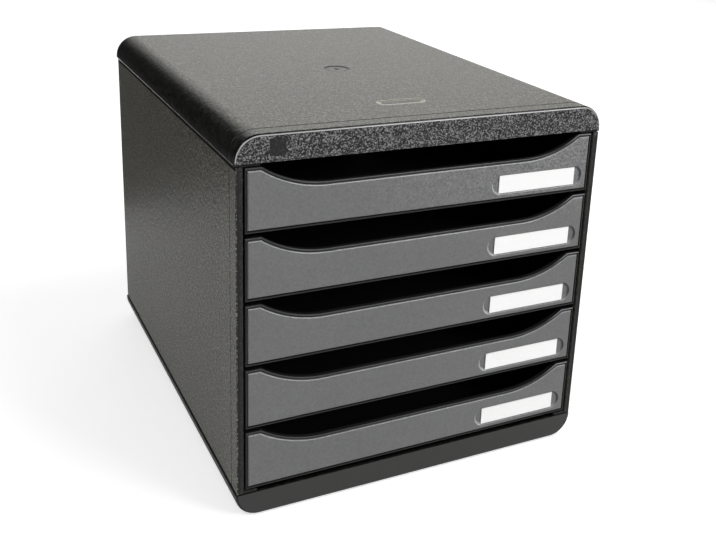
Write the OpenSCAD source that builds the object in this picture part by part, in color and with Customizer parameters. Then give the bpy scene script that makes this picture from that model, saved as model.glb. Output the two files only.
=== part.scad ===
// Desktop file drawer unit: a moulded casing of two covers, two side panels and a back
// panel, on four feet, with five drawers that slide out to the front.
// Millimetres. X runs to the right, Y to the back, Z up. The feet stand on z = 0.
// Inside the modules y is counted from the front face of the casing, and at_front()
// moves it so that the casing lies centred on the origin.

/* [Casing] */
// Width over the top cover
case_width = 278; // [270:1:300]
// Depth from the front face to the rear face of the covers
case_depth = 348; // [335:1:370]
// Wall of the two covers
cover_wall = 2.5; // [2.2:0.1:2.7]
// Rounding of the front and rear edges of the covers
arris_r = 2; // [0.8:0.1:2.1]
// Open seam between a cover and a side panel
seam = 0.9; // [0.6:0.1:1.1]
// Rounding of the long edge of a cover along that seam
seam_r = 1.2; // [0.6:0.1:1.4]

/* [Top cover] */
// Height of the front band
top_band_h = 18.6; // [18.5:0.1:24]
// Radius of the shoulders
top_shoulder_r = 17.5; // [16.5:0.1:18]
// How far the side skirts hang below the band
skirt_drop = 1; // [0.8:0.1:2]
// Width of the groove that runs round behind the front edge
groove_w = 0.8; // [0.5:0.1:1.2]
// Depth of that groove
groove_d = 0.5; // [0.3:0.1:0.7]
// Diameter of the round moulding recess in the top
gate_dia = 19; // [12:1:22]
// Diameter of the nub in the middle of that recess
gate_nub = 3; // [2:0.5:5]
// Distance of that recess from the front face
gate_y = 167; // [150:1:180]
// Length of the bare lozenge recess in the top
lozenge_l = 35; // [26:1:40]
// Width of the lozenge recess
lozenge_w = 11; // [8:0.5:14]
// Distance of the lozenge from the front face
lozenge_y = 51; // [40:1:70]
// Side of the bare square patch on the front band
patch_side = 11; // [9:0.5:12]
// Distance of the patch from the left side of the cover
patch_x = 23; // [20:0.5:40]
// Depth of the patch, the lozenge and the round recess
mark_d = 0.3; // [0.2:0.1:0.4]

/* [Base cover] */
// Height of the front band
base_band_h = 18.1; // [17.1:0.1:20]
// Radius of the lower corners
base_shoulder_r = 16.8; // [16:0.1:17]
// How far each side stands in from the side of the top cover
base_inset = 0.2; // [0:0.1:0.5]

/* [Cover ribs and hooks] */
// Thickness of the ribs and webs
rib_t = 1.6; // [1.2:0.1:2]
// Height of the ribs
rib_h = 5; // [3:0.5:6]
// Distance of the outer lengthwise ribs from the middle
rib_x = 96; // [80:1:100]
// Number of cross ribs
rib_count = 5; // [3:1:7]
// Distance of the first and the last cross rib from the front and the rear face
rib_end = 28; // [24:1:40]
// Width of the landing that a web gives to a flange
landing_w = 9; // [6:0.5:12]
// Thickness of a snap hook
hook_t = 1.6; // [1.2:0.1:2]
// Width of a snap hook
hook_w = 12; // [8:1:20]
// Height of the barb of a snap hook
barb_h = 1; // [0.8:0.1:1.1]
// How far a barb reaches past the edge of the flange
barb_reach = 0.8; // [0.6:0.1:1.2]
// Clearance between a hook and its flange
hook_clear = 0.3; // [0.2:0.05:0.4]

/* [Side panels] */
// How far the outer face stands in from the side of the top cover
side_inset = 1.1; // [0.9:0.1:1.3]
// Wall of a side panel
side_wall = 3; // [2.8:0.1:3.2]
// Width of the front pilaster
pilaster_w = 4.5; // [4.2:0.1:5]
// Depth of the front pilaster, up to the groove
pilaster_d = 12.5; // [11:0.5:14]
// Rounding of the front corner of the pilaster
pilaster_r = 0.8; // [0.4:0.1:1.2]
// Thickness of the flanges
flange_t = 1.4; // [1.2:0.1:1.5]
// Reach of the upper flange from the outer face
top_flange = 16; // [15.6:0.1:18]
// Reach of the lower flange from the outer face
base_flange = 14; // [13:0.5:16]
// How far the flanges stand back from the front face
flange_back = 0.4; // [0.2:0.1:1]
// Height of the lip along the front edge of the lower flange
base_lip = 0.8; // [0.4:0.1:1]
// Depth of the open seam between the front of a side panel and a cover
seam_back = 2; // [1:0.1:2.2]
// Clearance of the tongue inside the covers
tongue_clear = 0.3; // [0.2:0.05:0.4]
// How far the tongue reaches into each cover
tongue_len = 2.8; // [2:0.1:2.9]
// How far the rear edge stands in from the rear face of the covers
rear_inset = 2; // [1.5:0.1:3]

/* [Back panel] */
// Thickness of the back panel
back_t = 2.2; // [1.8:0.1:2.6]
// Clearance at the edges of the back panel
back_clear = 0.3; // [0.2:0.05:0.5]
// Thickness of the jamb ribs that hold it
jamb_t = 1.8; // [1.4:0.1:2.2]
// Reach of the jamb ribs from the side wall
jamb_reach = 5.5; // [4:0.5:7]
// Width of the middle part that reaches into the covers
back_mid_w = 190; // [150:5:200]
// How far the middle part reaches into each cover
back_mid_h = 7; // [4:0.5:8]
// Height of the stiffening ribs on its rear face
back_rib_h = 1; // [0.6:0.1:1.2]
// Width of these ribs
back_rib_w = 4; // [3:0.5:6]

/* [Drawers] */
// Distance from one drawer to the next
drawer_pitch = 46.6; // [46:0.1:50]
// Height of a drawer front at its ends
front_h = 43.5; // [43:0.1:44]
// Gap between the lowest drawer front and the base cover
bottom_gap = 3.3; // [2.8:0.1:5]
// Gap between the highest drawer front and the top cover
top_gap = 2.8; // [2:0.1:5]
// Gap between a drawer front and a pilaster
side_gap = 1.6; // [1:0.1:2]
// How far the rim of a drawer front stands back from the front face
front_back = 0.5; // [0.3:0.1:1]
// Wall of a drawer tray
tray_wall = 2; // [1.6:0.1:2.2]
// Thickness of the tray floor
floor_t = 2; // [1.6:0.1:2.4]
// Height of the floor ribs under the tray
floor_rib = 1; // [0.6:0.1:1.2]
// Height of the tray walls over the lower edge of the front
tray_h = 37; // [36:0.1:37.2]
// Radius of the rear corners of the tray
tray_r = 6; // [4:0.5:10]

/* [Scoop] */
// Depth of the finger scoop in the upper edge
scoop_d = 14.1; // [10:0.1:16]
// Half the length of its level part
scoop_half = 76; // [65:1:80]
// Radius of the curves that lead up to the ends
scoop_r = 80; // [70:1:90]

/* [Front insert] */
// Thickness of the insert
insert_t = 2.2; // [1.9:0.1:2.4]
// How far the insert stands proud of the rim
insert_proud = 0.3; // [0.1:0.1:0.5]
// Open groove between the insert and the rim
insert_gap = 0.8; // [0.4:0.1:1]
// Bevel round the face of the insert
insert_bevel = 0.6; // [0.3:0.1:0.7]
// Width of the rim along the upper edge
rim_top = 1.2; // [1:0.1:1.6]
// Width of the rim along the sides
rim_side = 1; // [0.8:0.1:1.4]
// Width of the rim along the lower edge
rim_bottom = 1.3; // [1:0.1:1.6]
// Bevel round the outer edge of the rim
rim_bevel = 0.5; // [0.3:0.1:0.7]
// Wall of the tray behind the insert
front_wall = 2.1; // [1.8:0.1:2.6]
// Diameter of the pegs that hold the insert
peg_dia = 4.6; // [4:0.1:6]
// Clearance round a peg
peg_clear = 0.15; // [0.1:0.05:0.25]
// Distance of the outer pegs from the middle
peg_x = 112; // [100:1:118]

/* [Label] */
// Length of the label card
label_l = 64.6; // [50:0.1:68]
// Height of the label card
label_h = 13.1; // [10:0.1:13.2]
// Thickness of the label card
label_t = 0.35; // [0.2:0.05:0.5]
// Length of the label pocket
pocket_l = 75.8; // [74:0.1:78]
// Height of the label pocket
pocket_h = 14; // [13.8:0.1:15]
// Depth of the label pocket
pocket_d = 0.9; // [0.6:0.1:1.2]
// Bevel round the label pocket
pocket_bevel = 0.4; // [0.2:0.1:0.6]
// Distance of the pocket from the right end of the drawer front
pocket_end = 6.5; // [4:0.5:25]
// Height of the middle of the pocket over the lower edge of the insert
pocket_z = 10.3; // [9:0.1:11]

/* [Runners] */
// How far a drawer slides out
travel = 250; // [200:5:260]
// Reach of a runner from the side wall
runner_reach = 6; // [5.5:0.1:6.2]
// Thickness of a runner at its edge
runner_t = 1.8; // [1.4:0.1:2]
// Extra thickness of a runner at its root
runner_root = 1.4; // [0.8:0.1:1.8]
// Reach of the guide rib over the lip
guide_reach = 4.5; // [4.2:0.1:5]
// Thickness of the guide rib
guide_t = 1.6; // [1.2:0.1:2]
// Thickness of the lip of a drawer
lip_t = 2.2; // [1.8:0.1:2.4]
// Clearance between a lip and a pilaster
lip_clear = 0.6; // [0.5:0.1:0.8]
// Clearance between a tray wall and a runner
tray_clear = 1; // [0.6:0.1:1.2]
// Height of the stop nub on the lip
nub_h = 1.4; // [1.2:0.1:1.6]
// Length of the stop nub
nub_l = 10; // [6:1:14]
// Length of the stop block at the front of the guide rib
stop_l = 20; // [12:1:30]
// Clearance of the lip and its nub under the guide rib and at the stops
run_clear = 0.3; // [0.2:0.05:0.4]

/* [Feet] */
// Diameter of a foot
foot_dia = 14; // [10:1:18]
// Height of a foot
foot_h = 2.4; // [2:0.1:2.6]
// How far a foot stands out of its socket
foot_out = 1.2; // [1:0.1:1.4]
// Rounding of the lower edge of a foot
foot_r = 0.5; // [0.3:0.1:0.8]
// Clearance round a foot in its socket
foot_clear = 0.1; // [0.05:0.05:0.3]
// Distance of a foot from the side of the top cover
foot_x = 34; // [32:1:50]
// Distance of a foot from the front and the rear face
foot_y = 26; // [20:1:50]

/* [Hidden] */
$fn = 96;
BLACK = [0.13, 0.13, 0.13];
GREY = [0.46, 0.46, 0.46];
WHITE = [0.97, 0.97, 0.97];
RUBBER = [0.07, 0.07, 0.07];
drawer_count = 5;
over = 1;

// Levels, from the feet up
base_z = foot_out;
sill_z = base_z + base_band_h;
lintel_z = sill_z + bottom_gap + (drawer_count - 1) * drawer_pitch + front_h + top_gap;
skirt_z = lintel_z - skirt_drop;
top_z = lintel_z + top_band_h;

// Half widths, from the outside in
top_half = case_width / 2;
base_half = top_half - base_inset;
side_out = top_half - side_inset;
side_in = side_out - side_wall;
tongue_x = base_half - cover_wall - tongue_clear;
pilaster_in = side_out - pilaster_w;
front_half = pilaster_in - side_gap;
pocket_x = front_half - pocket_end - pocket_l / 2;
lip_half = pilaster_in - lip_clear;
tray_half = side_in - runner_reach - tray_clear;
top_flange_in = side_out - top_flange;
base_flange_in = side_out - base_flange;

// Places along the depth
rear_y = case_depth - rear_inset;
tongue_y = cover_wall + tongue_clear;
jamb_y = rear_y - 2 * jamb_t - back_t - back_clear;
tray_end = jamb_y - run_clear;
recess_y = front_back - insert_proud + insert_t;
wall_y = recess_y + front_wall;
nub_y = tray_end - nub_l;
stop_y = nub_y - travel - run_clear;

// Heights inside a drawer, over the lower edge of its front
lip_z = tray_h - lip_t;
guide_z = tray_h + nub_h + run_clear;
insert_bottom = rim_bottom + insert_gap;
insert_top = front_h - rim_top - insert_gap;
scoop_centre = insert_top - scoop_d + scoop_r;

function drawer_z(n) = sill_z + bottom_gap + (drawer_count - n) * drawer_pitch;
function rib_y(k) = rib_end + k * (case_depth - 2 * rib_end) / (rib_count - 1);
function hook_y(k) = (rib_y(k) + rib_y(k + 1)) / 2;

module at_front() {
  translate([0, -case_depth / 2, 0]) children();
}

// Puts a flat shape drawn in x and z upright, with its thickness from y to y + t
module upright(y, t) {
  translate([0, y + t, 0]) rotate([90, 0, 0]) linear_extrude(height = t) children();
}

module both_sides() {
  for (s = [0, 1]) mirror([s, 0, 0]) children();
}

// ---- Covers: a lid with its outer face at z = 0, drawn downwards ----

// Cut through the outer skin of a lid: x is the distance from the axis of the shoulder
module skin_section(r, groove) {
  difference() {
    union() {
      translate([r - cover_wall, 0]) square([cover_wall - arris_r, case_depth]);
      translate([r - cover_wall, arris_r]) square([cover_wall, case_depth - 2 * arris_r]);
      for (y = [arris_r, case_depth - arris_r]) translate([r - arris_r, y]) circle(r = arris_r);
    }
    if (groove > 0) translate([r - groove, pilaster_d]) square([groove + over, groove_w]);
  }
}

module band_section(r, groove) {
  skin_section(r, groove);
  for (y = [0, case_depth - cover_wall]) translate([0, y]) square([r - cover_wall, cover_wall]);
}

module lid_shell(half, r, band_h, drop, groove) {
  flat = half - r;
  translate([0, 0, -r]) rotate([0, -90, 0])
    linear_extrude(height = 2 * flat, center = true) band_section(r, groove);
  for (y = [0, case_depth - cover_wall])
    translate([-flat, y, -band_h]) cube([2 * flat, cover_wall, band_h - r]);
  both_sides() {
    translate([flat, case_depth, -r]) rotate([90, 0, 0])
      rotate_extrude(angle = 90) mirrored_section(r, groove);
    translate([flat, 0, -band_h]) linear_extrude(height = band_h - r) band_section(r, groove);
    if (drop > 0)
      translate([flat, 0, -band_h - drop]) linear_extrude(height = drop) skin_section(r, groove);
  }
}

// The section turned end for end, because a revolved shoulder is built from the rear
module mirrored_section(r, groove) {
  translate([0, case_depth]) mirror([0, 1]) band_section(r, groove);
}

// Web that fills a shoulder and carries the flange of the side panel
module lid_web(half, r, band_h, flange_in) {
  flat = half - r;
  reach = side_in - tongue_clear - flat;
  translate([flat, 0, -r]) {
    upright(0, rib_t) intersection() {
      circle(r = r - cover_wall / 2);
      square([reach, r]);
    }
    translate([0, 0, r - band_h]) cube([reach, rib_t, band_h - r]);
  }
  translate([flange_in - landing_w, 0, -band_h])
    cube([flat - flange_in + landing_w, rib_t, band_h - cover_wall / 2]);
}

module lid_ribs(half, r, band_h, flange_in) {
  low = -cover_wall - rib_h;
  flat = half - r;
  for (k = [0 : rib_count - 1]) translate([0, rib_y(k) - rib_t / 2, 0]) {
    translate([-flat, 0, low]) cube([2 * flat, rib_t, rib_h + cover_wall / 2]);
    both_sides() lid_web(half, r, band_h, flange_in);
  }
  for (x = [-rib_x, 0, rib_x])
    translate([x - rib_t / 2, rib_y(0), low])
      cube([rib_t, rib_y(rib_count - 1) - rib_y(0), rib_h + cover_wall / 2]);
}

// Snap hook whose barb catches under the inner edge of a flange
module lid_hook(band_h, flange_in) {
  face = flange_in - hook_clear;
  catch_z = -band_h - flange_t - hook_clear;
  upright(-hook_w / 2, hook_w) polygon([
    [face - hook_t, -cover_wall / 2], [face, -cover_wall / 2], [face, catch_z],
    [flange_in + barb_reach, catch_z], [face - hook_t / 2, catch_z - barb_h],
    [face - hook_t, catch_z - barb_h]
  ]);
}

// Cutter that rounds the long edge of a lid, with the corner of the edge at x = 0 and z = 0
module seam_rounding() {
  upright(-over, case_depth + 2 * over) difference() {
    translate([-seam_r, -over]) square([seam_r + over, seam_r + over]);
    translate([-seam_r, seam_r]) circle(r = seam_r);
  }
}

module lid(half, r, band_h, drop, groove, flange_in) {
  difference() {
    lid_shell(half, r, band_h, drop, groove);
    both_sides() translate([half, 0, -band_h - drop]) seam_rounding();
  }
  lid_ribs(half, r, band_h, flange_in);
  for (k = [0 : rib_count - 2])
    translate([0, hook_y(k), 0]) both_sides() lid_hook(band_h, flange_in);
}

module stadium(l, h) {
  square([l - h, h], center = true);
  for (s = [-1, 1]) translate([s * (l - h) / 2, 0]) circle(d = h);
}

module top_cover() {
  color(BLACK) at_front() translate([0, 0, top_z]) difference() {
    lid(top_half, top_shoulder_r, top_band_h, skirt_drop, groove_d, top_flange_in);
    translate([0, gate_y, -mark_d]) difference() {
      cylinder(d = gate_dia, h = mark_d + over);
      cylinder(d = gate_nub, h = mark_d);
    }
    translate([0, lozenge_y, -mark_d])
      linear_extrude(height = mark_d + over) stadium(lozenge_l, lozenge_w);
    translate([patch_x - top_half, -over, -(top_band_h + patch_side) / 2])
      cube([patch_side, over + mark_d, patch_side]);
  }
}

module foot_places() {
  for (x = [foot_x - top_half, top_half - foot_x], y = [foot_y, case_depth - foot_y])
    translate([x, y, 0]) children();
}

module base_cover() {
  socket = foot_dia / 2 + foot_clear;
  color(BLACK) at_front() difference() {
    union() {
      translate([0, 0, base_z]) mirror([0, 0, 1])
        lid(base_half, base_shoulder_r, base_band_h, 0, 0, base_flange_in);
      foot_places() translate([0, 0, base_z + cover_wall / 2])
        cylinder(r = socket + cover_wall, h = cover_wall / 2 + foot_h - foot_out);
    }
    foot_places() translate([0, 0, base_z - over]) cylinder(r = socket, h = over + foot_h - foot_out);
  }
}

module foot(x, y) {
  color(RUBBER) at_front() translate([x, y, 0]) rotate_extrude() {
    square([foot_dia / 2 - foot_r, foot_h]);
    translate([0, foot_r]) square([foot_dia / 2, foot_h - foot_r]);
    translate([foot_dia / 2 - foot_r, foot_r]) circle(r = foot_r);
  }
}

// ---- Side panels, drawn on the right ----

module pilaster() {
  both = pilaster_w - pilaster_r;
  translate([pilaster_in, 0, sill_z + seam]) linear_extrude(height = skirt_z - sill_z - 2 * seam) {
    square([both, pilaster_d]);
    translate([0, pilaster_r]) square([pilaster_w, pilaster_d - pilaster_r]);
    translate([both, pilaster_r]) circle(r = pilaster_r);
  }
  translate([pilaster_in, 0, sill_z]) cube([tongue_x - pilaster_in, pilaster_d, lintel_z - sill_z]);
}

module side_wall_and_flanges() {
  tongue_end = case_depth - tongue_y;
  translate([side_in, pilaster_r, sill_z + seam])
    cube([side_wall, rear_y - pilaster_r, skirt_z - sill_z - 2 * seam]);
  translate([side_in, tongue_y, sill_z - tongue_len])
    cube([tongue_x - side_in, tongue_end - tongue_y, skirt_z - sill_z + 2 * tongue_len]);
  translate([base_flange_in, flange_back, sill_z])
    cube([tongue_x - base_flange_in, tongue_end - flange_back, flange_t]);
  translate([base_flange_in, flange_back, sill_z + flange_t / 2])
    cube([tongue_x - base_flange_in, seam_back + flange_t, flange_t / 2 + base_lip]);
  translate([top_flange_in, flange_back, lintel_z - flange_t])
    cube([tongue_x - top_flange_in, tongue_end - flange_back, flange_t]);
}

// Runner under the lip of a drawer, guide rib over it, and the stop block at its front
module runner(z) {
  length = jamb_y - pilaster_d;
  upright(pilaster_d, length) polygon([
    [side_in + over, z + lip_z], [side_in - runner_reach, z + lip_z],
    [side_in - runner_reach, z + lip_z - runner_t],
    [side_in, z + lip_z - runner_t - runner_root],
    [side_in + over, z + lip_z - runner_t - runner_root]
  ]);
  translate([side_in - guide_reach, pilaster_d, z + guide_z])
    cube([guide_reach + over, length, guide_t]);
  translate([side_in - guide_reach, stop_y - stop_l, z + tray_h + run_clear])
    cube([guide_reach + over, stop_l, guide_z - tray_h - run_clear + guide_t]);
}

module side_panel() {
  color(BLACK) at_front() difference() {
    union() {
      side_wall_and_flanges();
      pilaster();
      for (n = [1 : drawer_count]) runner(drawer_z(n));
      for (y = [jamb_y, rear_y - jamb_t]) translate([side_in - jamb_reach, y, sill_z + flange_t])
        cube([jamb_reach + over, jamb_t, lintel_z - sill_z - 2 * flange_t]);
    }
    translate([side_out - groove_d, pilaster_d, sill_z])
      cube([groove_d + over, groove_w, lintel_z - sill_z]);
    for (z = [sill_z - over, lintel_z - seam])
      translate([0, -over, z]) cube([tongue_x + over, seam_back + over, seam + over]);
  }
}

module left_side_panel() {
  mirror([1, 0, 0]) side_panel();
}

module right_side_panel() {
  side_panel();
}

module back_panel() {
  half = side_in - back_clear;
  low = sill_z + flange_t;
  high = lintel_z - flange_t - back_clear;
  y = rear_y - jamb_t - back_t;
  color(BLACK) at_front() {
    upright(y, back_t) {
      translate([-half, low]) square([2 * half, high - low]);
      translate([-back_mid_w / 2, sill_z - back_mid_h])
        square([back_mid_w, lintel_z - sill_z + 2 * back_mid_h]);
    }
    for (n = [1 : drawer_count])
      translate([-back_mid_w / 2, y + back_t, drawer_z(n) + (front_h - back_rib_w) / 2])
        cube([back_mid_w, back_rib_h, back_rib_w]);
  }
}

// ---- Drawers ----

// Outline of a drawer front, set in by the given amounts from its outer edges
module front_outline(side, bottom, top) {
  half = front_half - side;
  r = scoop_r - rim_top - insert_gap + top;
  difference() {
    translate([-half, bottom]) square([2 * half, front_h - top - bottom]);
    translate([-scoop_half, scoop_centre - r]) square([2 * scoop_half, r]);
    for (s = [-1, 1]) translate([s * scoop_half, scoop_centre]) circle(r = r);
  }
}

module tray_outline(in) {
  half = tray_half - in;
  end = tray_end - in;
  r = tray_r - in;
  translate([-half, recess_y]) square([2 * half, end - r - recess_y]);
  translate([r - half, recess_y]) square([2 * (half - r), end - recess_y]);
  for (s = [-1, 1]) translate([s * (half - r), end - r]) circle(r = r);
}

module tray_lips() {
  nub_w = lip_half - side_in + guide_reach;
  difference() {
    translate([-lip_half, wall_y - front_wall / 2, lip_z])
      cube([2 * lip_half, tray_end - wall_y + front_wall / 2, lip_t]);
    translate([0, 0, lip_z - over])
      linear_extrude(height = lip_t + 2 * over) tray_outline(tray_wall);
  }
  both_sides() translate([lip_half - nub_w, nub_y, lip_z]) cube([nub_w, nub_l, lip_t + nub_h]);
}

module tray_floor_ribs() {
  first = wall_y + tray_r;
  last = tray_end - tray_r;
  for (s = [-1, 0, 1])
    translate([s * scoop_half - rib_t / 2, first, 0]) cube([rib_t, last - first, floor_rib + floor_t / 2]);
  for (y = [first, (first + last) / 2, last - rib_t])
    translate([tray_r - tray_half, y, 0])
      cube([2 * (tray_half - tray_r), rib_t, floor_rib + floor_t / 2]);
}

module peg_places() {
  for (x = [-peg_x, 0, peg_x])
    translate([x, 0, (insert_bottom + scoop_centre - scoop_r) / 2]) children();
}

// A round pin along y
module pin(y, length, dia) {
  translate([0, y, 0]) rotate([-90, 0, 0]) cylinder(d = dia, h = length);
}

module drawer_tray(n) {
  color(BLACK) at_front() translate([0, 0, drawer_z(n)]) difference() {
    union() {
      upright(front_back, wall_y - front_back) front_outline(0, 0, 0);
      translate([0, 0, floor_rib]) linear_extrude(height = floor_t) tray_outline(0);
      translate([0, 0, floor_rib]) linear_extrude(height = tray_h - floor_rib) difference() {
        tray_outline(0);
        tray_outline(tray_wall);
      }
      tray_lips();
      tray_floor_ribs();
    }
    upright(front_back - over, recess_y - front_back + over)
      front_outline(rim_side, rim_bottom, rim_top);
    edge_bevels(front_back, rim_bevel, 0, 0, 0);
    peg_places() pin(recess_y - over, front_wall + 2 * over, peg_dia + 2 * peg_clear);
  }
}

// Wedge that bevels a straight edge along x, with its corner at the origin
module bevel_wedge(c, length) {
  rotate([90, 0, 90]) linear_extrude(height = length, center = true)
    polygon([[-over, -c - over], [c + over, over], [-over, over]]);
}

// Bevels round a face whose outline is set in as in front_outline
module edge_bevels(face, c, side, bottom, top) {
  r = scoop_r - rim_top - insert_gap + top;
  span = 2 * front_half;
  translate([0, face, front_h - top]) bevel_wedge(c, span);
  translate([0, face, bottom]) mirror([0, 0, 1]) bevel_wedge(c, span);
  both_sides() translate([front_half - side, face, front_h / 2]) rotate([0, 90, 0])
    bevel_wedge(c, span);
  translate([0, face, scoop_centre - r]) bevel_wedge(c, 2 * scoop_half);
  for (s = [-1, 1]) translate([s * scoop_half, face - over, scoop_centre]) rotate([-90, 0, 0])
    cylinder(r1 = r + c + over, r2 = r - over, h = c + 2 * over);
}

module label_place() {
  translate([pocket_x, 0, insert_bottom + pocket_z]) children();
}

// Bevel round the mouth of the label pocket, in the face at y = face
module pocket_mouth(face) {
  straight = pocket_l - pocket_h;
  wide = pocket_h / 2 + pocket_bevel + over;
  narrow = pocket_h / 2 - over;
  deep = pocket_bevel + over;
  for (s = [-1, 1]) translate([s * straight / 2, face - over, 0]) rotate([-90, 0, 0])
    cylinder(r1 = wide, r2 = narrow, h = deep + over);
  translate([0, face, 0]) rotate([90, 0, 90]) linear_extrude(height = straight, center = true)
    polygon([[-over, -wide], [deep, -narrow], [deep, narrow], [-over, wide]]);
}

module drawer_front(n) {
  face = front_back - insert_proud;
  color(GREY) at_front() translate([0, 0, drawer_z(n)]) {
    difference() {
      upright(face, insert_t)
        front_outline(rim_side + insert_gap, insert_bottom, rim_top + insert_gap);
      edge_bevels(face, insert_bevel, rim_side + insert_gap, insert_bottom, rim_top + insert_gap);
      label_place() {
        upright(face - over, pocket_d + over) stadium(pocket_l, pocket_h);
        pocket_mouth(face);
      }
    }
    peg_places() pin(recess_y - insert_t / 4, front_wall + insert_t / 4, peg_dia);
  }
}

module drawer_label(n) {
  color(WHITE) at_front() translate([0, 0, drawer_z(n)])
    label_place() translate([-label_l / 2, front_back - insert_proud + pocket_d - label_t, -label_h / 2])
      cube([label_l, label_t, label_h]);
}

top_cover();
base_cover();
left_side_panel();
right_side_panel();
back_panel();
foot(foot_x - top_half, foot_y);  // foot_front_left
foot(top_half - foot_x, foot_y);  // foot_front_right
foot(foot_x - top_half, case_depth - foot_y);  // foot_rear_left
foot(top_half - foot_x, case_depth - foot_y);  // foot_rear_right
drawer_tray(1);  // drawer_1_tray
drawer_tray(2);  // drawer_2_tray
drawer_tray(3);  // drawer_3_tray
drawer_tray(4);  // drawer_4_tray
drawer_tray(5);  // drawer_5_tray
drawer_front(1);  // drawer_1_front
drawer_front(2);  // drawer_2_front
drawer_front(3);  // drawer_3_front
drawer_front(4);  // drawer_4_front
drawer_front(5);  // drawer_5_front
drawer_label(1);  // drawer_1_label
drawer_label(2);  // drawer_2_label
drawer_label(3);  // drawer_3_label
drawer_label(4);  // drawer_4_label
drawer_label(5);  // drawer_5_label
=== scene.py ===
import math

import bpy
from mathutils import Matrix, Vector

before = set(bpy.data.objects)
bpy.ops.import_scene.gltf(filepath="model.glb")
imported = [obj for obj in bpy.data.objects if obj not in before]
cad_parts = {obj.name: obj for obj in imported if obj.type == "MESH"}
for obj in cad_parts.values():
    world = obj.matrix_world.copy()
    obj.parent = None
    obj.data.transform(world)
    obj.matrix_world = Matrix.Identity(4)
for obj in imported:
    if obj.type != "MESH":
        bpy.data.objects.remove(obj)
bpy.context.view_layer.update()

# ---- Camera: the photograph's viewing angle and perspective ----
CAM_AZIMUTH = -27.7285  # degrees, like the two below
CAM_ELEVATION = 17.2729
CAM_ROLL = 2.7115
CAM_PLACE = (-0.31259, -0.72736, 0.43843)  # metres
CAM_LENS = 49.5219  # millimetres
CAM_SENSOR = 36
CAM_SHIFT = (-0.0649, -0.1466)  # in widths of the picture
CAM_NEAR, CAM_FAR = 0.01, 50

# ---- Places on the casing, in metres; the front looks towards negative y ----
SILL_Z = 0.0193  # upper edge of the base band
LINTEL_Z = 0.2553  # lower edge of the top band
SKIRT_Z = 0.2543  # lower edge of the lid on the sides
TOP_Z = 0.262  # level faces above this are the top
FRONT_Y = -0.160  # the front faces lie before this
ARRIS_Y = -0.1705  # the rounding of the front edge lies before this
GROOVE_Y = -0.1611  # line behind the front edge of the lid
REAR_Y = 0.165  # the outer face of the back panel lies behind this
PANEL_X = 0.1362  # the outer faces of the side panels lie beyond this
POST_X = 0.1354  # the inner strip of the pilasters ends here
PATCH_X, PATCH_Z = (-0.116, -0.105), (0.2591, 0.2701)  # bare square in the top band
LOZENGE_Y, LOZENGE_HALF, LOZENGE_R, LOZENGE_LINE = -0.123, 0.012, 0.0055, 0.0020
GATE_Y, GATE_R, GATE_LINE, GATE_DOT = -0.007, 0.0095, 0.0014, 0.0036
SHARP = 0.0002  # softness of a hard border

# ---- Parts of the normal from which, and at which fully, a face counts as turned that way ----
TO_FRONT = (-0.982, -0.994)
TO_TOP = (0.85, 0.98)
TO_GROUND = (-0.03, -0.12)
TO_SIDE = (0.5, 0.7)
OUT_OF_BEVEL = (0.15, 0.6)

# ---- Label pocket of the lowest drawer, and the step from drawer to drawer ----
POCKET_X, POCKET_Z, POCKET_HALF, POCKET_R = 0.0874, 0.0350, 0.0309, 0.0072
DRAWER_PITCH = 0.0466

# ---- Colours, linear ----
SHELL_BLACK = (0.0100, 0.0099, 0.0092)
PANEL_GREY = (0.0350, 0.0338, 0.0262)
POST_BLACK = (0.0045, 0.0045, 0.0045)
BASE_BAND_GREY = (0.0320, 0.0320, 0.0310)
# Painted sheen: the top of the lid is given a lighter grey than its other faces, for the light it
# reflects
TOP_SHEEN_GREY = (0.0580, 0.0570, 0.0490)
GRAIN_COOL, GRAIN_WARM = (1.0, 1.0, 1.01), (1.0, 0.98, 0.82)
TRAY_BLACK = (0.0125, 0.0125, 0.0130)
FRONT_GREY = (0.128, 0.129, 0.130)
CARD_WHITE = (0.93, 0.93, 0.925)
RUBBER_BLACK = (0.020, 0.020, 0.020)
PAPER_WHITE = (0.85, 0.85, 0.85)
FLAG_BLACK = (0.01, 0.01, 0.01)
SKY_WHITE, SKY_WARM = (1.0, 1.0, 1.0), (1.0, 0.99, 0.94)

# ---- Light that grain and grit add to the casing's colour, and painted highlights on its edges and on the lozenge's outline ----
SIDE_GRAIN, TOP_GRAIN = 0.032, 0.027
BAND_GRIT, POST_GRIT = 0.245, 0.03
GLINT_LIGHT, LOZENGE_LIGHT = 0.40, 0.34
UNDER_LIGHT = (0.08, 0.90)  # at the front and at the rear

# ---- Where nearly all values of a noise lie ----
NOISE = (0.3, 0.7)
NARROW_NOISE = (0.35, 0.65)

# ---- Studio ----
FLOOR_RADIUS = 12
FLOOR_MIRRORED, FLOOR_SEEN = 0.20, 0.55  # glow of the paper in reflections and to the camera
SKY_LIGHT, SKY_DARK, SKY_BRIGHT = 0.28, 0.08, 0.92  # plain light, and the reflected backdrop
LAMP_AIM = (0, 0, 0.13)
LAMPS = (  # name, place and size in metres, watts
    ("key_light", (1.87, -2.80, 1.64), 1.2, 54),
    ("top_light", (1.10, -0.75, 2.20), 0.9, 16),
    ("left_light", (-1.30, -1.10, 1.60), 0.7, 13),
    ("back_light", (1.10, 2.40, 0.90), 1.9, 15),
)
FLAG_X, FLAG_Y, FLAG_Z = (-1.10, -0.17), 0.475, (0.001, 0.75)


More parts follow.
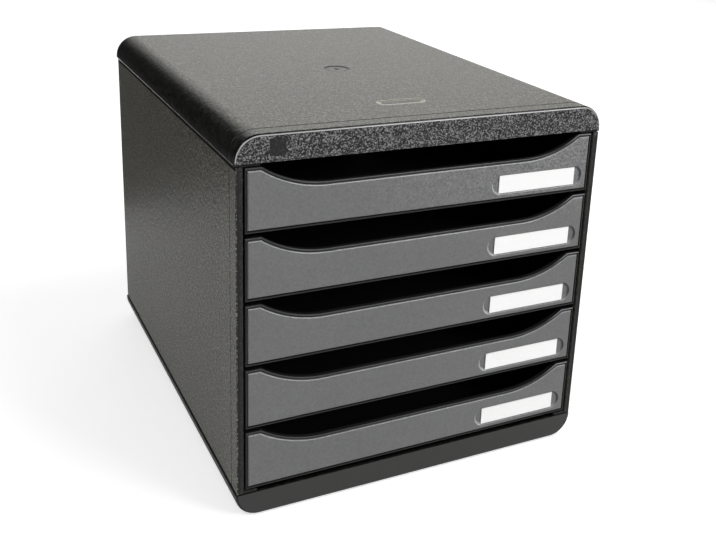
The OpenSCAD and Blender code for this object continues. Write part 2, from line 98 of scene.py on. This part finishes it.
def add_camera():
    a, e, r = (math.radians(v) for v in (CAM_AZIMUTH, CAM_ELEVATION, CAM_ROLL))
    back = Vector((math.sin(a) * math.cos(e), -math.cos(a) * math.cos(e), math.sin(e)))
    level = (-back).cross(Vector((0, 0, 1))).normalized()
    upward = level.cross(-back)
    right = math.cos(r) * level + math.sin(r) * upward
    up = -math.sin(r) * level + math.cos(r) * upward
    cam = bpy.data.objects.new("camera", bpy.data.cameras.new("camera"))
    bpy.context.scene.collection.objects.link(cam)
    turn = Matrix((right, up, back)).transposed().to_4x4()
    cam.matrix_world = Matrix.Translation(CAM_PLACE) @ turn
    cam.data.lens = CAM_LENS
    cam.data.sensor_width = CAM_SENSOR
    cam.data.shift_x, cam.data.shift_y = CAM_SHIFT
    cam.data.clip_start, cam.data.clip_end = CAM_NEAR, CAM_FAR
    bpy.context.scene.camera = cam


# ---- Node helpers ----
class Nodes:
    """Short names for the nodes of one tree. A value is a number, a tuple or a socket."""

    def __init__(self, tree):
        self.tree = tree
        tree.nodes.clear()

    def new(self, kind, **settings):
        n = self.tree.nodes.new("ShaderNode" + kind)
        for key, value in settings.items():
            setattr(n, key, value)
        return n

    def join(self, source, target):
        self.tree.links.new(source, target)

    def put(self, value, socket):
        if isinstance(value, (int, float, tuple)):
            socket.default_value = value
        else:
            self.join(value, socket)

    def math(self, operation, a, b=0.0, clamp=False):
        n = self.new("Math", operation=operation, use_clamp=clamp)
        self.put(a, n.inputs[0])
        self.put(b, n.inputs[1])
        return n.outputs[0]

    def times(self, first, *others):
        for other in others:
            first = self.math("MULTIPLY", first, other)
        return first

    def plus(self, first, *others):
        for other in others:
            first = self.math("ADD", first, other)
        return first

    def minus(self, a, b, clamp=False):
        return self.math("SUBTRACT", a, b, clamp)

    def largest(self, a, b):
        return self.math("MAXIMUM", a, b)

    def absolute(self, a):
        return self.math("ABSOLUTE", a)

    def hypot(self, a, b):
        return self.math("SQRT", self.plus(self.times(a, a), self.times(b, b)))

    def ramp(self, value, low, high, out_low=0.0, out_high=1.0, smooth=False):
        n = self.new("MapRange", interpolation_type="SMOOTHSTEP" if smooth else "LINEAR")
        self.put(value, n.inputs["Value"])
        ends = {"From Min": low, "From Max": high, "To Min": out_low, "To Max": out_high}
        for name, end in ends.items():
            self.put(end, n.inputs[name])
        return n.outputs[0]

    def within(self, value, low, high, soft):
        """1 where the value lies between low and high, with soft ends."""
        rise = self.ramp(value, low - soft, low + soft)
        return self.times(rise, self.ramp(value, high - soft, high + soft, 1.0, 0.0))

    def blend(self, factor, a, b):
        """A value between a and b."""
        return self.ramp(factor, 0.0, 1.0, a, b)

    def blend_with(self, factor, a, b):
        """A value between a, which varies over the surface, and b."""
        return self.plus(self.times(a, self.minus(1.0, factor)), self.times(factor, b))

    def noise(self, place, size_mm, detail=2.0, rough=0.5, stretch=None):
        if stretch:
            s = self.new("Mapping")
            self.join(place, s.inputs["Vector"])
            s.inputs["Scale"].default_value = stretch
            place = s.outputs[0]
        n = self.new("TexNoise")
        self.join(place, n.inputs["Vector"])
        n.inputs["Scale"].default_value = 1000.0 / size_mm
        n.inputs["Detail"].default_value = detail
        n.inputs["Roughness"].default_value = rough
        return n.outputs[0]

    def cells(self, place, size_mm):
        """A random number for each small cell of the surface."""
        n = self.new("TexVoronoi")
        self.join(place, n.inputs["Vector"])
        n.inputs["Scale"].default_value = 1000.0 / size_mm
        part = self.new("SeparateColor")
        self.join(n.outputs["Color"], part.inputs[0])
        return part.outputs[0]

    def mix(self, factor, a, b):
        """A colour between a, which may vary over the surface, and b."""
        n = self.new("Mix", data_type="RGBA")
        self.put(factor, n.inputs[0])
        self.put((*a, 1) if isinstance(a, tuple) else a, n.inputs[6])
        n.inputs[7].default_value = (*b, 1)
        return n.outputs[2]

    def shade(self, colour, factor):
        """The colour times a number."""
        n = self.new("VectorMath", operation="SCALE")
        self.put(colour, n.inputs[0])
        self.put(factor, n.inputs["Scale"])
        return n.outputs[0]

    def relief(self, height, depth, strength=1.0, under=None):
        """A bumped normal; the depth is what a height of 1 stands for, in metres."""
        n = self.new("Bump")
        self.put(strength, n.inputs["Strength"])
        n.inputs["Distance"].default_value = depth
        self.join(height, n.inputs["Height"])
        if under:
            self.join(under, n.inputs["Normal"])
        return n.outputs[0]


def new_material(name):
    m = bpy.data.materials.new(name)
    m.use_nodes = True
    n = Nodes(m.node_tree)
    return m, n, n.new("OutputMaterial")


def plastic(name):
    m, n, out = new_material(name)
    skin = n.new("BsdfPrincipled")
    n.join(skin.outputs[0], out.inputs[0])
    return m, n, skin


def place_and_normal(n):
    """The object's coordinates, as a vector and one by one, and the parts of its normal."""
    where = n.new("TexCoord")
    xyz = n.new("SeparateXYZ")
    n.join(where.outputs["Object"], xyz.inputs[0])
    facing = n.new("SeparateXYZ")
    n.join(where.outputs["Normal"], facing.inputs[0])
    return where.outputs["Object"], xyz.outputs, facing.outputs


# ---- Casing ----
def ring(n, x, y, centre_y, half_straight, radius, half_width):
    """1 along the outline of a stadium or circle on the top."""
    along = n.largest(n.minus(n.absolute(x), half_straight), 0.0)
    across = n.minus(y, centre_y)
    off = n.absolute(n.minus(n.hypot(along, across), radius))
    return n.ramp(off, half_width * 0.5, half_width, 1.0, 0.0)


def casing_zones(n, xyz, facing):
    """Masks from 0 to 1 that tell the parts of the casing's surface apart."""
    x, y, z = xyz
    nx, ny, nz = facing
    wide = n.absolute(x)
    front = n.times(n.ramp(ny, *TO_FRONT), n.ramp(y, FRONT_Y, FRONT_Y - 0.006))
    patch = n.times(n.within(x, *PATCH_X, SHARP), n.within(z, *PATCH_Z, SHARP))
    band = n.times(front, n.ramp(z, LINTEL_Z - 0.0004, LINTEL_Z), n.blend(patch, 1.0, 0.08))
    bare = n.minus(front, band, clamp=True)
    post = n.times(front, n.within(z, SILL_Z + 0.0003, LINTEL_Z - 0.0003, SHARP))
    level = n.times(n.ramp(nz, *TO_TOP), n.ramp(z, TOP_Z, TOP_Z + 0.004))
    edge = n.times(n.within(ny, -0.978, -0.20, 0.012), n.ramp(y, ARRIS_Y, ARRIS_Y - 0.001))
    glint = n.times(
        edge, n.within(ny, -0.965, -0.80, 0.02), n.ramp(z, LINTEL_Z, LINTEL_Z + 0.002)
    )
    under = n.times(n.ramp(nz, *TO_GROUND), n.ramp(z, SKIRT_Z - 0.0003, SKIRT_Z))
    seam_shade = n.times(
        n.ramp(z, SKIRT_Z - 0.0031, SKIRT_Z - 0.0027),
        n.ramp(z, SKIRT_Z - 0.0002, SKIRT_Z, 1.0, 0.0),
        n.ramp(n.absolute(nx), *TO_SIDE),
    )
    outline = ring(n, x, y, LOZENGE_Y, LOZENGE_HALF, LOZENGE_R, LOZENGE_LINE)
    gate = n.largest(
        ring(n, x, y, GATE_Y, 0.0, GATE_R, GATE_LINE), ring(n, x, y, GATE_Y, 0.0, 0.0, GATE_DOT)
    )
    return {
        "front": front,  # all flat faces that look to the front
        "band": band,  # sparkling band above the drawers, without its bare square
        "bare": bare,  # the rest of the front
        "post": post,  # front of the pilasters
        "post_in": n.times(post, n.ramp(wide, POST_X, POST_X + 0.0006, 1.0, 0.0)),
        "base_band": n.times(bare, n.ramp(z, SILL_Z - SHARP, SILL_Z, 1.0, 0.0)),
        "panel": n.within(z, SILL_Z + 0.0005, SKIRT_Z - 0.0005, 0.0003),  # between the covers
        "outer": n.largest(
            n.ramp(wide, PANEL_X, PANEL_X + 0.0006), n.ramp(y, REAR_Y, REAR_Y + 0.005)
        ),
        "level": level,  # flat top
        "glint": glint,  # painted highlight: a light line on the front edge of the lid
        "under": under,  # lower edge of the lid, with a painted highlight along it
        "smooth": n.largest(edge, under),
        "seam_shade": seam_shade,  # painted shade in the seam below the lid
        # Painted highlight along the outline of the lozenge on the top
        "lozenge": n.times(level, outline),
        "gate": n.times(level, gate),
    }


def casing_colour(n, place, xyz, zone, mottle):
    """A dark mottled ground, with the light of the grain and the painted highlights of the edges
    added to it; the top is painted lighter, a painted sheen, and the seam below the lid darker, a
    painted shade.
    """
    _, y, _ = xyz
    tone = n.times(
        n.ramp(mottle, 0.36, 0.64, 0.50, 1.50),
        n.blend(zone["post"], 1.0, 0.2),
        n.blend(zone["smooth"], 1.0, 0.4),
        # Painted shade in the seam below the lid; the gate mark is darker too
        n.blend(n.largest(zone["gate"], zone["seam_shade"]), 1.0, 0.1),
    )
    tone = n.blend_with(zone["base_band"], tone, 1.0)
    tint = n.mix(zone["panel"], SHELL_BLACK, PANEL_GREY)
    tint = n.mix(zone["front"], tint, POST_BLACK)
    tint = n.mix(zone["base_band"], tint, BASE_BAND_GREY)
    # Painted sheen: the flat top gets a lighter grey than the rest of the lid
    tint = n.mix(zone["level"], tint, TOP_SHEEN_GREY)
    # Sparkling spots of the sides and the top, and grit of the band
    coarse = n.noise(place, size_mm=1.3, detail=1.0, rough=0.5)
    cloud = n.noise(place, size_mm=60.0, detail=3.0, rough=0.5)
    spark = n.times(n.ramp(coarse, 0.51, 0.75, 0.0, 8.0), n.ramp(cloud, *NOISE, 0.93, 1.07))
    grit = n.ramp(n.cells(place, size_mm=0.78), 0.48, 1.0)
    side_grain = n.times(
        n.blend(n.largest(zone["front"], zone["seam_shade"]), SIDE_GRAIN, 0.0),
        n.ramp(y, -0.150, -0.140, 1.2, 1.0),
        zone["outer"],
    )
    top_grain = n.blend(zone["gate"], TOP_GRAIN, 0.0)
    grain = n.plus(n.times(zone["level"], top_grain), n.times(zone["panel"], side_grain))
    gritty = n.plus(n.times(zone["band"], BAND_GRIT), n.times(zone["post_in"], POST_GRIT))
    lift = n.plus(
        n.times(grain, spark),
        n.times(gritty, grit),
        n.times(zone["glint"], GLINT_LIGHT),
        n.times(zone["under"], n.ramp(y, -0.15, 0.15, *UNDER_LIGHT)),
        n.times(zone["lozenge"], LOZENGE_LIGHT),
    )
    lift_tint = n.mix(n.largest(zone["panel"], zone["level"]), GRAIN_COOL, GRAIN_WARM)
    colour = n.new("VectorMath", operation="ADD")
    n.join(n.shade(tint, tone), colour.inputs[0])
    n.join(n.shade(lift_tint, lift), colour.inputs[1])
    return colour.outputs[0]


def casing_normal(n, xyz, zone, mottle):
    """Mottled grain, and over it the seam below the lid, the line behind its edge and the gate."""
    _, y, z = xyz
    calm = n.times(n.blend(zone["smooth"], 1.0, 0.03), n.blend(zone["bare"], 1.0, 0.25))
    strength = n.times(n.blend(zone["level"], 0.9, 0.6), calm)
    grain = n.relief(mottle, depth=0.0005, strength=strength)
    slope = n.times(zone["panel"], n.ramp(z, SKIRT_Z - 0.0030, SKIRT_Z - 0.0010, 0.0, -1.0))
    line = n.times(
        n.ramp(n.absolute(n.minus(y, GROOVE_Y)), 0.0, 0.0010, -0.8, 0.0),
        n.ramp(z, LINTEL_Z, LINTEL_Z + 0.001),
    )
    height = n.minus(n.plus(slope, line), n.times(zone["gate"], 0.25))
    return n.relief(height, depth=0.0012, under=grain)


def casing_plastic():
    """Black moulded plastic: mottled grain, sparkling top band, smooth base band and edges,
    painted highlights on the edges, a painted sheen on the top and painted shade below the lid.
    """
    m, n, skin = plastic("casing_plastic")
    place, xyz, facing = place_and_normal(n)
    zone = casing_zones(n, xyz, facing)
    mottle = n.noise(place, size_mm=3.6, detail=2.0, rough=0.45)
    rough = n.plus(
        n.ramp(mottle, *NARROW_NOISE, 0.36, 0.44),
        n.times(zone["level"], 0.08),
        n.times(zone["seam_shade"], 0.25),
    )
    n.join(casing_colour(n, place, xyz, zone, mottle), skin.inputs["Base Color"])
    n.join(n.blend_with(zone["smooth"], rough, 0.20), skin.inputs["Roughness"])
    n.join(casing_normal(n, xyz, zone, mottle), skin.inputs["Normal"])
    skin.inputs["Specular IOR Level"].default_value = 0.3
    return m


# ---- Drawers and feet ----
def bevel(n, ny):
    """1 on the bevels around the front faces of a drawer."""
    return n.within(ny, -0.88, -0.40, 0.05)


def tray_plastic():
    """Black plastic of the drawers, finely grained, with painted highlights on the bevels of the
    rim that look right and up.
    """
    m, n, skin = plastic("tray_plastic")
    place, (x, _, _), (nx, ny, nz) = place_and_normal(n)
    fine = n.noise(place, size_mm=0.9, detail=3.0, rough=0.6)
    # Painted highlight on the rim's bevels that look right and up, most of all at the right end of
    # the rim
    painted_highlight = n.times(
        bevel(n, ny), n.ramp(n.largest(nx, nz), *OUT_OF_BEVEL), n.ramp(x, 0.108, 0.118, 1.5, 14.0)
    )
    tone = n.plus(n.ramp(fine, *NOISE, 0.8, 1.2), painted_highlight)
    n.join(n.shade(TRAY_BLACK, tone), skin.inputs["Base Color"])
    n.join(n.ramp(fine, *NARROW_NOISE, 0.30, 0.42), skin.inputs["Roughness"])
    n.join(n.relief(fine, depth=0.0001, strength=0.2), skin.inputs["Normal"])
    skin.inputs["Specular IOR Level"].default_value = 0.35
    return m


def pocket_mouth(n, x, z):
    """1 around the round ends of the label pockets, and how much each spot looks right and up."""
    over_x = n.minus(x, POCKET_X)
    ends = n.largest(n.minus(n.absolute(over_x), POCKET_HALF), 0.0)
    step = n.math("MODULO", n.plus(z, DRAWER_PITCH / 2 - POCKET_Z), DRAWER_PITCH)
    over_z = n.minus(step, DRAWER_PITCH / 2)
    off = n.absolute(n.minus(n.hypot(ends, over_z), POCKET_R))
    mouth = n.times(n.ramp(off, 0.0003, 0.0008, 1.0, 0.0), n.ramp(ends, 0.0, 0.002))
    along = n.times(n.math("SIGN", over_x), ends)
    right, up = (n.ramp(over, -POCKET_R, POCKET_R, 0.7, -0.7) for over in (along, over_z))
    return mouth, n.plus(right, up)


def front_plastic():
    """Grey plastic of the drawer fronts, with a fine mottled grain, painted highlights on the
    edges that look right and up and on that side of the pockets' mouths, and painted shade on
    their other side.
    """
    m, n, skin = plastic("front_plastic")
    place, (x, _, z), (nx, ny, nz) = place_and_normal(n)
    fine = n.noise(place, size_mm=1.7, detail=3.0, rough=0.65)
    mottle = n.noise(place, size_mm=5.0, detail=2.0, rough=0.5)
    cloud = n.noise(place, size_mm=70.0, detail=2.0, rough=0.5)
    # Painted light: the grain of the top drawer stands out more towards the right, where light
    # grazes it
    grain_in_grazing_light = n.times(n.ramp(x, -0.09, 0.08), n.ramp(z, 0.175, 0.235))
    grit = n.ramp(n.cells(place, size_mm=1.0), 0.0, 1.0, 0.65, 1.75)
    # Painted highlight: the bevels that look right and up, and the same side of the pockets' mouth
    right_side, top_side = n.ramp(nx, *OUT_OF_BEVEL), n.ramp(nz, *OUT_OF_BEVEL, 0.0, 0.7)
    looking_out = n.math("ADD", right_side, top_side, clamp=True)
    mouth, aim = pocket_mouth(n, x, z)
    painted_highlight = n.largest(
        n.times(bevel(n, ny), looking_out), n.times(mouth, n.ramp(aim, 0.0, 0.8, 0.0, 1.6))
    )
    shadow = n.times(mouth, n.ramp(aim, -0.7, 0.0, 0.75, 0.0))
    tone = n.times(
        n.ramp(fine, 0.34, 0.66, 0.88, 1.12),
        n.ramp(mottle, *NOISE, 0.975, 1.025),
        n.ramp(cloud, *NOISE, 0.97, 1.03),
        n.plus(n.blend(grain_in_grazing_light, 1.0, 0.0), n.times(grain_in_grazing_light, grit)),
        n.minus(1.0, shadow),
    )
    tone = n.plus(tone, n.times(painted_highlight, n.ramp(fine, *NOISE, 0.8, 2.0)))
    rough = n.blend_with(painted_highlight, n.ramp(fine, *NARROW_NOISE, 0.36, 0.48), 0.25)
    n.join(n.shade(FRONT_GREY, tone), skin.inputs["Base Color"])
    n.join(rough, skin.inputs["Roughness"])
    n.join(n.relief(fine, depth=0.00015, strength=0.4), skin.inputs["Normal"])
    return m


def label_card():
    """Plain white card with a faint fibre."""
    m, n, skin = plastic("label_card")
    place, _, _ = place_and_normal(n)
    fibre = n.noise(place, size_mm=0.8, detail=4.0, rough=0.6, stretch=(0.35, 1.0, 1.0))
    tone = n.ramp(fibre, *NOISE, 0.985, 1.015)
    n.join(n.shade(CARD_WHITE, tone), skin.inputs["Base Color"])
    n.join(n.relief(fibre, depth=0.00004, strength=0.15), skin.inputs["Normal"])
    skin.inputs["Roughness"].default_value = 0.75
    return m


def foot_rubber():
    """Black rubber with a little dust."""
    m, n, skin = plastic("foot_rubber")
    place, _, _ = place_and_normal(n)
    dust = n.noise(place, size_mm=2.0, detail=4.0, rough=0.6)
    n.join(n.shade(RUBBER_BLACK, n.ramp(dust, *NOISE, 0.7, 1.5)), skin.inputs["Base Color"])
    n.join(n.ramp(dust, *NOISE, 0.62, 0.82), skin.inputs["Roughness"])
    n.join(n.relief(dust, depth=0.0001, strength=0.3), skin.inputs["Normal"])
    return m


def dress():
    """Give each node of the frame the material of its kind."""
    casing, tray, front = casing_plastic(), tray_plastic(), front_plastic()
    card, rubber = label_card(), foot_rubber()
    for name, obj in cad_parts.items():
        if name.endswith("_label"):
            look = card
        elif name.endswith("_front") and name.startswith("drawer"):
            look = front
        elif name.endswith("_tray"):
            look = tray
        elif name.startswith("foot"):
            look = rubber
        else:
            look = casing
        obj.material_slots[0].material = look


# ---- Floor, world and lamps ----
def add_floor():
    """White paper; to the camera and in reflections it glows a little."""
    bpy.ops.mesh.primitive_circle_add(
        vertices=96, radius=FLOOR_RADIUS, fill_type="NGON", location=(0, 0, 0)
    )
    floor = bpy.context.object
    floor.name = "floor"
    m, n, out = new_material("floor_paper")
    path = n.new("LightPath").outputs
    mirrored = n.largest(path["Is Glossy Ray"], path["Is Transmission Ray"])
    seen = n.times(path["Is Camera Ray"], FLOOR_SEEN)
    paper = n.new("BsdfDiffuse")
    paper.inputs["Color"].default_value = (*PAPER_WHITE, 1)
    glow = n.new("Emission")
    n.join(n.plus(n.times(mirrored, FLOOR_MIRRORED), seen), glow.inputs["Strength"])
    both = n.new("AddShader")
    n.join(paper.outputs[0], both.inputs[0])
    n.join(glow.outputs[0], both.inputs[1])
    n.join(both.outputs[0], out.inputs[0])
    floor.data.materials.append(m)


def add_world():
    """White to the camera, plain grey as light; in reflections a bright strip low on the right."""
    world = bpy.data.worlds.new("studio")
    bpy.context.scene.world = world
    world.use_nodes = True
    n = Nodes(world.node_tree)
    out = n.new("OutputWorld")
    path = n.new("LightPath").outputs
    where = n.new("TexCoord")
    xyz = n.new("SeparateXYZ")
    n.join(where.outputs["Generated"], xyz.inputs[0])
    x, _, z = xyz.outputs
    strip = n.times(
        n.ramp(z, 0.10, 0.28, 0.0, 1.2),
        n.ramp(z, 0.35, 0.65, 1.0, 0.0, smooth=True),
        n.ramp(x, -0.30, 0.10, 0.0, 1.0, smooth=True),
    )
    backdrop = n.plus(n.times(strip, SKY_BRIGHT), SKY_DARK)
    mirrored = n.largest(path["Is Glossy Ray"], path["Is Transmission Ray"])
    unseen = n.blend(mirrored, SKY_LIGHT, backdrop)
    sky = n.new("Background")
    n.join(n.mix(mirrored, SKY_WHITE, SKY_WARM), sky.inputs["Color"])
    n.join(n.blend(path["Is Camera Ray"], unseen, 1.0), sky.inputs["Strength"])
    n.join(sky.outputs[0], out.inputs[0])


def add_lamp(name, place, size, watts):
    lamp = bpy.data.lights.new(name, "AREA")
    lamp.shape, lamp.size, lamp.energy = "SQUARE", size, watts
    obj = bpy.data.objects.new(name, lamp)
    bpy.context.scene.collection.objects.link(obj)
    obj.location = place
    aim = Vector(LAMP_AIM) - Vector(place)
    obj.rotation_mode = "QUATERNION"
    obj.rotation_quaternion = aim.to_track_quat("-Z", "Y")


def add_flag():
    """Black card that stands behind the left side, seen only in reflections."""
    (x0, x1), y, (z0, z1) = FLAG_X, FLAG_Y, FLAG_Z
    mesh = bpy.data.meshes.new("flag")
    corners = [(x0, y, z0), (x1, y, z0), (x1, y, z1), (x0, y, z1)]
    mesh.from_pydata(corners, [], [(0, 1, 2, 3)])
    flag = bpy.data.objects.new("flag", mesh)
    bpy.context.scene.collection.objects.link(flag)
    m, n, out = new_material("black_card")
    card = n.new("BsdfDiffuse")
    card.inputs["Color"].default_value = (*FLAG_BLACK, 1)
    n.join(card.outputs[0], out.inputs[0])
    mesh.materials.append(m)
    for ray in ("camera", "diffuse", "shadow", "transmission"):
        setattr(flag, "visible_" + ray, False)


add_camera()
dress()
add_floor()
add_world()
add_flag()
for lamp in LAMPS:
    add_lamp(*lamp)

bpy.context.scene.view_settings.view_transform = "Standard"
